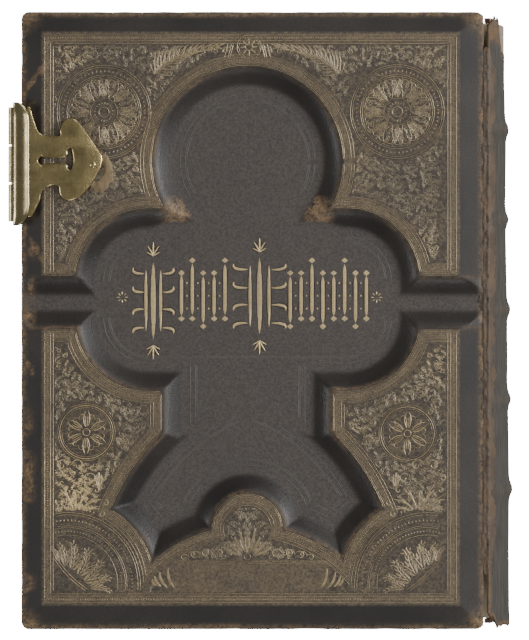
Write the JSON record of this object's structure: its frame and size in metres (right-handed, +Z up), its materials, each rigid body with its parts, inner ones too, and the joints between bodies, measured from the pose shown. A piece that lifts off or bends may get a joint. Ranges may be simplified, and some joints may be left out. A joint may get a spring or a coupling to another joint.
{
  "type": "clasped family bible",
  "caption": "Large leather-bound book with sunk-panel boards, rounded banded spine, turning leaves and a hinged brass fore-edge clasp.",
  "frame": {"origin": "centre of the bounding box's bottom, on the table plane", "axes": "+X towards the spine, +Y towards the head, +Z up through the upper board"},
  "size_m": [0.2618, 0.318, 0.0908],
  "materials": {
    "cover_leather": "grained black-brown goat leather, rubbed brown at the edges",
    "stamped_leather": "stamped and gilt leather, the gilding dulled",
    "brass": "cast and filed brass, tarnished",
    "millboard": "raw grey-brown board",
    "endpaper": "aged laid paper",
    "leaf_paper": "aged book paper",
    "block_paper": "worn gilt edges over aged paper",
    "sewing_cloth": "unbleached linen and mull",
    "endband_silk": "striped silk endband"
  },
  "bodies": {
    "lower_board": {"lower_board_core": "millboard", "lower_cover_leather": "cover_leather", "lower_head_panel": "stamped_leather", "lower_tail_panel": "stamped_leather", "lower_pastedown": "endpaper", "catch_plate": "brass"},
    "back_flyleaf": {"back_flyleaf": "leaf_paper"},
    "text_block": {"gatherings_1": "block_paper", "gatherings_2": "block_paper", "gatherings_3": "block_paper", "gatherings_4": "block_paper", "gatherings_5": "block_paper", "gatherings_6": "block_paper", "gatherings_7": "block_paper", "gatherings_8": "block_paper", "sewing_tape_1": "sewing_cloth", "sewing_tape_2": "sewing_cloth", "sewing_tape_3": "sewing_cloth", "sewing_tape_4": "sewing_cloth", "sewing_tape_5": "sewing_cloth", "spine_lining": "sewing_cloth", "spine_leather": "cover_leather", "raised_band_1": "cover_leather", "raised_band_2": "cover_leather", "raised_band_3": "cover_leather", "raised_band_4": "cover_leather", "raised_band_5": "cover_leather", "head_band": "endband_silk", "tail_band": "endband_silk", "upper_joint_leather": "cover_leather", "lower_joint_leather": "cover_leather"},
    "title_leaf": {"title_leaf": "leaf_paper"},
    "frontispiece_leaf": {"frontispiece_leaf": "leaf_paper"},
    "front_flyleaf": {"front_flyleaf": "leaf_paper"},
    "upper_board": {"upper_board_core": "millboard", "upper_cover_leather": "cover_leather", "upper_head_panel": "stamped_leather", "upper_tail_panel": "stamped_leather", "upper_pastedown": "endpaper", "clasp_plate": "brass", "clasp_rivet": "brass", "clasp_hinge_pin": "brass"},
    "hasp": {"clasp_hasp": "brass"}
  },
  "joints": [
    {"name": "lower_joint", "type": "hinge", "parent": "lower_board", "child": "text_block", "pos_m": [0.1153, 0, 0.0036], "axis": [0, 1, 0], "range_deg": [0, 60]},
    {"name": "back_flyleaf_turn", "type": "hinge", "parent": "lower_board", "child": "back_flyleaf", "pos_m": [0.11205, 0, 0.0109], "axis": [0, 1, 0], "range_deg": [0, 31]},
    {"name": "upper_joint", "type": "hinge", "parent": "text_block", "child": "upper_board", "pos_m": [0.1153, 0, 0.0846], "axis": [0, 1, 0], "range_deg": [0, 180]},
    {"name": "title_leaf_turn", "type": "hinge", "parent": "text_block", "child": "title_leaf", "pos_m": [0.11045, 0, 0.0756], "axis": [0, 1, 0], "range_deg": [0, 51]},
    {"name": "frontispiece_turn", "type": "hinge", "parent": "text_block", "child": "frontispiece_leaf", "pos_m": [0.11125, 0, 0.0763], "axis": [0, 1, 0], "range_deg": [0, 76]},
    {"name": "front_flyleaf_turn", "type": "hinge", "parent": "text_block", "child": "front_flyleaf", "pos_m": [0.11205, 0, 0.077], "axis": [0, 1, 0], "range_deg": [0, 101]},
    {"name": "hasp_hinge", "type": "hinge", "parent": "upper_board", "child": "hasp", "pos_m": [-0.12855, 0.0805, 0.082], "axis": [0, 1, 0], "range_deg": [-1.5, 140]}
  ],
  "couplings": [
    {"joint": "back_flyleaf_turn", "follows": "lower_joint", "ratio": 0.5},
    {"joint": "title_leaf_turn", "follows": "upper_joint", "ratio": 0.28},
    {"joint": "frontispiece_turn", "follows": "upper_joint", "ratio": 0.42},
    {"joint": "front_flyleaf_turn", "follows": "upper_joint", "ratio": 0.56}
  ]
}
